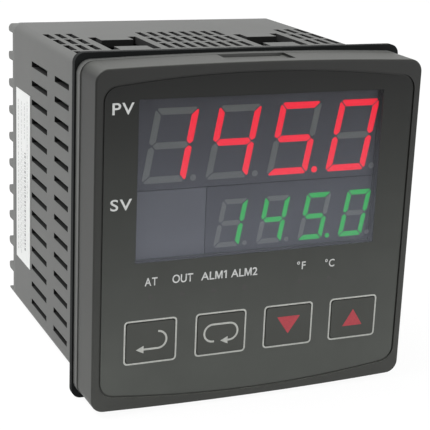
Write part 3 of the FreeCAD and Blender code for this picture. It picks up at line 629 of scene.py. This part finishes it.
def key_frames():
    """The printed frames on the film, round the keys."""
    film_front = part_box("overlay_film")[0].y - PRINT_LIFT
    patches = []
    for node in ("key_enter", "key_cycle", "key_down", "key_up"):
        centre = key_centre(node)
        x, z = FRAME_WIDTH / 2, FRAME_HEIGHT / 2
        corners = [centre + Vector(p) for p in ((-x, -z), (x, -z), (x, z), (-x, z))]
        patches += ribbon(rounded(corners, FRAME_CORNER, 8), FRAME_LINE, closed=True)
    flat_piece("key_frames", patches, front_plane(film_front), KEY_LINE, ROOT)


def arrow_head(tip):
    """A triangle that points left."""
    base = tip.x + ARROW_LENGTH
    return [tip, Vector((base, tip.y - ARROW_HALF)), Vector((base, tip.y + ARROW_HALF))]


def key_icon(name, node, outlines, material, body):
    plane = front_plane(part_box(node)[0].y - PRINT_LIFT)
    flat_piece(name, outlines, plane, material, body)


def return_icon():
    """A hook that ends in an arrow to the left."""
    centre = key_centre("key_enter")
    hook = arc_points(centre + Vector((2.1, 0.35)) * MM, 2.45 * MM, 90, -90, 16)
    tip = Vector((centre.x - 4.2 * MM, hook[-1].y))
    hook.append(tip + Vector((ARROW_LENGTH, 0)))
    outlines = ribbon(hook, ICON_LINE) + [arrow_head(tip)]
    key_icon("icon_return", "key_enter", outlines, KEY_LINE, "enter_key")


def loop_icon():
    """A flat loop, open below, where it ends in an arrow to the left."""
    centre = key_centre("key_cycle")
    radius, reach = 2.5 * MM, 5.0 * MM
    right = centre + Vector((reach - radius, 0.3 * MM))
    left = centre + Vector((radius - reach, 0.3 * MM))
    tip = Vector((centre.x - 0.1 * MM, right.y - radius))
    loop = [tip + Vector((ARROW_LENGTH, 0))]
    loop += arc_points(right, radius, -90, 90, 16)
    loop += arc_points(left, radius, 90, 270, 16)
    loop.append(Vector((centre.x - 2.0 * MM, left.y - radius)))
    outlines = ribbon(loop, ICON_LINE) + [arrow_head(tip)]
    key_icon("icon_loop", "key_cycle", outlines, KEY_LINE, "cycle_key")


def triangle_icons():
    """Red triangles; their half widths and half heights are in mm."""
    rows = [("key_down", "down_key", 3.6, -2.6), ("key_up", "up_key", 3.2, 2.5)]
    for node, body, half, rise in rows:
        centre = key_centre(node) + Vector((0, 0.1 * MM))
        corners = [(-half, -rise), (half, -rise), (0, rise)]
        outline = [centre + Vector(point) * MM for point in corners]
        key_icon(f"icon_{body}", node, [rounded(outline, 0.15 * MM)], ICON_RED, body)


LABEL_COLUMNS = [
    # its place as a share of the width from the rear edge, its width in mm, its start
    # and end as shares of the height from the top, and its ink
    (0.14, 0.5, 0.06, 0.94, "faint"),
    (0.27, 0.35, 0.40, 0.94, "faint"),
    (0.38, 0.35, 0.06, 0.94, "faint"),
    (0.49, 0.35, 0.34, 0.90, "faint"),
    (0.60, 0.45, 0.06, 0.26, "faint"),
    (0.62, 1.1, 0.34, 0.92, "dark"),
    (0.80, 0.4, 0.04, 0.60, "faint"),
]


def label_print():
    """Wordless columns of short strokes down the side label, as its small print."""
    low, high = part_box("spec_label")
    width, height = high.y - low.y, high.z - low.z
    strokes = {"faint": [], "dark": []}
    for share, thick, start, end, shade in LABEL_COLUMNS:
        y = high.y - width * share
        z = high.z - height * start
        number = 0
        while z > high.z - height * end:
            # lengths that differ from stroke to stroke, the same in each run
            length = (0.7 + 0.5 * math.sin(number * 2.4 + share * 20)) * MM
            if shade == "dark":
                length *= 0.75
            strokes[shade].append([
                Vector((y - thick * MM, z - length)), Vector((y, z - length)),
                Vector((y, z)), Vector((y - thick * MM, z)),
            ])
            z -= length + 0.45 * MM
            number += 1
    plane = left_plane(low.x - PRINT_LIFT)
    flat_piece("label_small_print", strokes["faint"], plane, LABEL_GREY, ROOT)
    flat_piece("label_code", strokes["dark"], plane, LABEL_DARK, ROOT)


# ------------------------------------------------------------------ solid pieces

def turned(model, profile, sides):
    """A closed round solid about Y, from its profile of (radius, y) points."""
    rings = []
    for radius, y in profile:
        ring = []
        for n in range(sides):
            angle = 2 * math.pi * n / sides
            place = (radius * math.cos(angle), y, radius * math.sin(angle))
            ring.append(model.verts.new(place))
        rings.append(ring)
    for below, above in zip(rings, rings[1:]):
        for n in range(sides):
            m = (n + 1) % sides
            model.faces.new([below[n], below[m], above[m], above[n]])
    model.faces.new(rings[0])
    model.faces.new(rings[-1])


def solid_box(model, low, high):
    """Adds a box between two corners."""
    made = bmesh.ops.create_cube(model, size=1.0)["verts"]
    size = Vector(high) - Vector(low)
    bmesh.ops.scale(model, verts=made, vec=size)
    bmesh.ops.translate(model, verts=made, vec=(Vector(high) + Vector(low)) / 2)


def mesh_of(name, build):
    """The mesh that a function builds in an empty model."""
    model = bmesh.new()
    build(model)
    bmesh.ops.recalc_face_normals(model, faces=model.faces)
    mesh = bpy.data.meshes.new(name)
    model.to_mesh(mesh)
    model.free()
    return mesh


def screw_head():
    """One head from its underside up, with a cross recess and a slot."""
    radius, height, easing = HEAD_RADIUS, HEAD_HEIGHT, HEAD_EASING
    profile = [
        (radius - 0.1 * MM, 0.0),
        (radius, 0.1 * MM),
        (radius, height - easing * 1.6),
        (radius - easing * 0.4, height - easing * 0.6),
        (radius - easing * 1.4, height - easing * 0.1),
        (radius - easing * 2.4, height),
    ]
    head = new_object(
        "screw_head", mesh_of("screw_head", lambda model: turned(model, profile, 40))
    )

    def cross(model):
        depth, arm, half = 0.9 * MM, 1.35 * MM, 0.34 * MM
        solid_box(model, (-arm, height - depth, -half), (arm, height + 0.5 * MM, half))

    def slot(model):
        depth, half, reach = 0.75 * MM, 0.3 * MM, radius * 1.2
        solid_box(model, (-half, height - depth, -reach), (half, height * 2, reach))

    for number, shape in enumerate((cross, slot)):
        cutter = new_object(f"cutter_{number}", mesh_of(f"cutter_{number}", shape))
        cut = head.modifiers.new("cut", "BOOLEAN")
        cut.operation = "DIFFERENCE"
        cut.solver = "EXACT"
        cut.object = cutter
        shapes = bpy.context.evaluated_depsgraph_get()
        result = bpy.data.meshes.new_from_object(head.evaluated_get(shapes))
        head.modifiers.clear()
        head.data = result
        bpy.data.objects.remove(cutter)
    mesh = head.data
    bpy.data.objects.remove(head)
    return mesh


def threaded_shank(bottom, top):
    """The profile of a shank with a plain thread, from its tip up."""
    profile = [(SHANK_RADIUS - 0.3 * MM, bottom)]
    for n in range(int((top - bottom) / THREAD_PITCH)):
        y = bottom + 0.2 * MM + n * THREAD_PITCH
        profile += [
            (SHANK_RADIUS, y),
            (SHANK_RADIUS, y + 0.1 * MM),
            (SHANK_RADIUS - 0.25 * MM, y + 0.4 * MM),
        ]
    profile.append((SHANK_RADIUS, top))
    return profile


def terminal_screws():
    """Round screws with square washers, in place of the plain CAD ones."""
    low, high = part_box("terminal_screws")
    half = WASHER_SIDE / 2
    under_head = high.y - HEAD_HEIGHT
    seat = under_head - WASHER_THICKNESS
    head = screw_head()
    shank = threaded_shank(low.y, seat)

    def all_screws(model):
        for x in (low.x + half, high.x - half):
            for number in range(SCREWS_PER_SIDE):
                share = number / (SCREWS_PER_SIDE - 1)
                z = low.z + half + (high.z - low.z - WASHER_SIDE) * share
                # each screw was last turned to an angle of its own
                spin = Matrix.Rotation(math.radians(37.0 * number + x * 9e3), 4, "Y")
                first = len(model.verts)
                model.from_mesh(head)
                model.verts.ensure_lookup_table()
                bmesh.ops.transform(
                    model, verts=model.verts[first:],
                    matrix=Matrix.Translation((x, under_head, z)) @ spin,
                )
                solid_box(model, (x - half, seat, z - half), (x + half, under_head, z + half))
                first = len(model.verts)
                turned(model, shank, 16)
                model.verts.ensure_lookup_table()
                bmesh.ops.translate(model, verts=model.verts[first:], vec=(x, 0, z))

    piece = new_object("round_screws", mesh_of("round_screws", all_screws))
    piece.data.materials.append(STEEL)
    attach(piece, ROOT)
    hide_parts("terminal_screws")


def rear_cover():
    """A thin plate between the terminal blocks, level with the blocks' own plates."""
    _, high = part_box("rear_housing")
    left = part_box("terminal_block_left")
    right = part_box("terminal_block_right")[0].x
    corners = (left[1].x, high.y, left[0].z), (right, high.y + COVER_THICKNESS, left[1].z)
    piece = new_object(
        "rear_cover", mesh_of("rear_cover", lambda model: solid_box(model, *corners))
    )
    piece.data.materials.append(CASE)
    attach(piece, ROOT)


# ------------------------------------------------------------------ studio

CAMERA_PLACE = Vector((-146.956, -320.252, 103.267)) * MM
CAMERA_AIM = Vector((-13.384, -17.0, 6.478)) * MM
CAMERA_ROLL = math.radians(2.41)
CAMERA_LENS = 107.75            # mm, on a sensor 36 mm wide
CAMERA_SHIFT = -0.0014
WORLD_LIGHT = 0.45              # of what the backdrop shows, this much lights the object
FLOOR_GLOW = 1.05
FLOOR_REACH = 3.0               # metres to each side
KEY_LIGHT = ((-0.5, 0.25, 0.9), 0.8, 12.0)      # place, size in metres, watts
FILL_LIGHT = ((0.5, -0.9, 0.1), 0.7, 5.0)


def camera():
    """The photograph's view, turned a little about its own line of sight."""
    data = bpy.data.cameras.new("camera")
    data.lens = CAMERA_LENS
    data.sensor_width = 36.0
    data.shift_x = CAMERA_SHIFT
    data.clip_start = 0.01
    view = new_object("camera", data)
    view.location = CAMERA_PLACE
    level = (CAMERA_AIM - CAMERA_PLACE).to_track_quat("-Z", "Y")
    view.rotation_mode = "QUATERNION"
    view.rotation_quaternion = level @ Quaternion((0, 0, 1), CAMERA_ROLL)
    bpy.context.scene.camera = view


def soft_light(name, place, size, power):
    """A square lamp that faces the middle of the part."""
    data = bpy.data.lights.new(name, "AREA")
    data.shape = "SQUARE"
    data.size = size
    data.energy = power
    lamp = new_object(name, data)
    lamp.location = place
    lamp.rotation_mode = "QUATERNION"
    aim = (cad_low + cad_high) / 2
    lamp.rotation_quaternion = (aim - Vector(place)).to_track_quat("-Z", "Y")


def number_step(tree, operation, *items):
    """A maths node; items are sockets or plain numbers."""
    step = tree.nodes.new("ShaderNodeMath")
    step.operation = operation
    for number, item in enumerate(items):
        feed(tree, item, step.inputs[number])
    return step.outputs["Value"]


def seen_directly(tree):
    """1 where a ray comes from the camera, or off a shiny or clear surface."""
    path = tree.nodes.new("ShaderNodeLightPath").outputs
    either = number_step(tree, "MAXIMUM", path["Is Camera Ray"], path["Is Glossy Ray"])
    return number_step(tree, "MAXIMUM", either, path["Is Transmission Ray"])


def white_world():
    """A backdrop that looks white and lights the object less than it shows."""
    world = bpy.data.worlds.new("studio")
    bpy.context.scene.world = world
    world.use_nodes = True
    tree = world.node_tree
    backdrop = tree.nodes["Background"]
    backdrop.inputs["Color"].default_value = (1, 1, 1, 1)
    level = mapped(tree, seen_directly(tree), (0.0, 1.0), (WORLD_LIGHT, 1.0))
    tree.links.new(level, backdrop.inputs["Strength"])


def white_floor():
    """A pale floor that looks nearly white, and still takes the object's shadow."""
    ground = bpy.data.meshes.new("floor")
    reach = FLOOR_REACH
    corners = [(-reach, -reach), (reach, -reach), (reach, reach), (-reach, reach)]
    ground.from_pydata([(x, y, cad_low.z) for x, y in corners], [], [(0, 1, 2, 3)])
    floor = new_object("floor", ground)
    material, tree, shader = new_material("floor_white")
    shader.inputs["Base Color"].default_value = (0.9, 0.9, 0.9, 1)
    shader.inputs["Roughness"].default_value = 0.9
    glow = tree.nodes.new("ShaderNodeEmission")
    glow.inputs["Color"].default_value = (1, 1, 1, 1)
    glow.inputs["Strength"].default_value = FLOOR_GLOW
    blend = tree.nodes.new("ShaderNodeMixShader")
    share = number_step(tree, "MULTIPLY", seen_directly(tree), 0.9)
    tree.links.new(share, blend.inputs["Fac"])
    tree.links.new(shader.outputs["BSDF"], blend.inputs[1])
    tree.links.new(glow.outputs["Emission"], blend.inputs[2])
    output = tree.nodes["Material Output"]
    tree.links.new(blend.outputs["Shader"], output.inputs["Surface"])
    ground.materials.append(material)


def studio():
    """A white studio, lit softly from above on the left and from the front right."""
    bpy.context.scene.view_settings.view_transform = "Standard"
    white_world()
    white_floor()
    soft_light("key_light", *KEY_LIGHT)
    soft_light("fill_light", *FILL_LIGHT)


dress_nodes()
displays()
legends()
indicator_spots()
key_frames()
return_icon()
loop_icon()
triangle_icons()
label_print()
terminal_screws()
rear_cover()
camera()
studio()
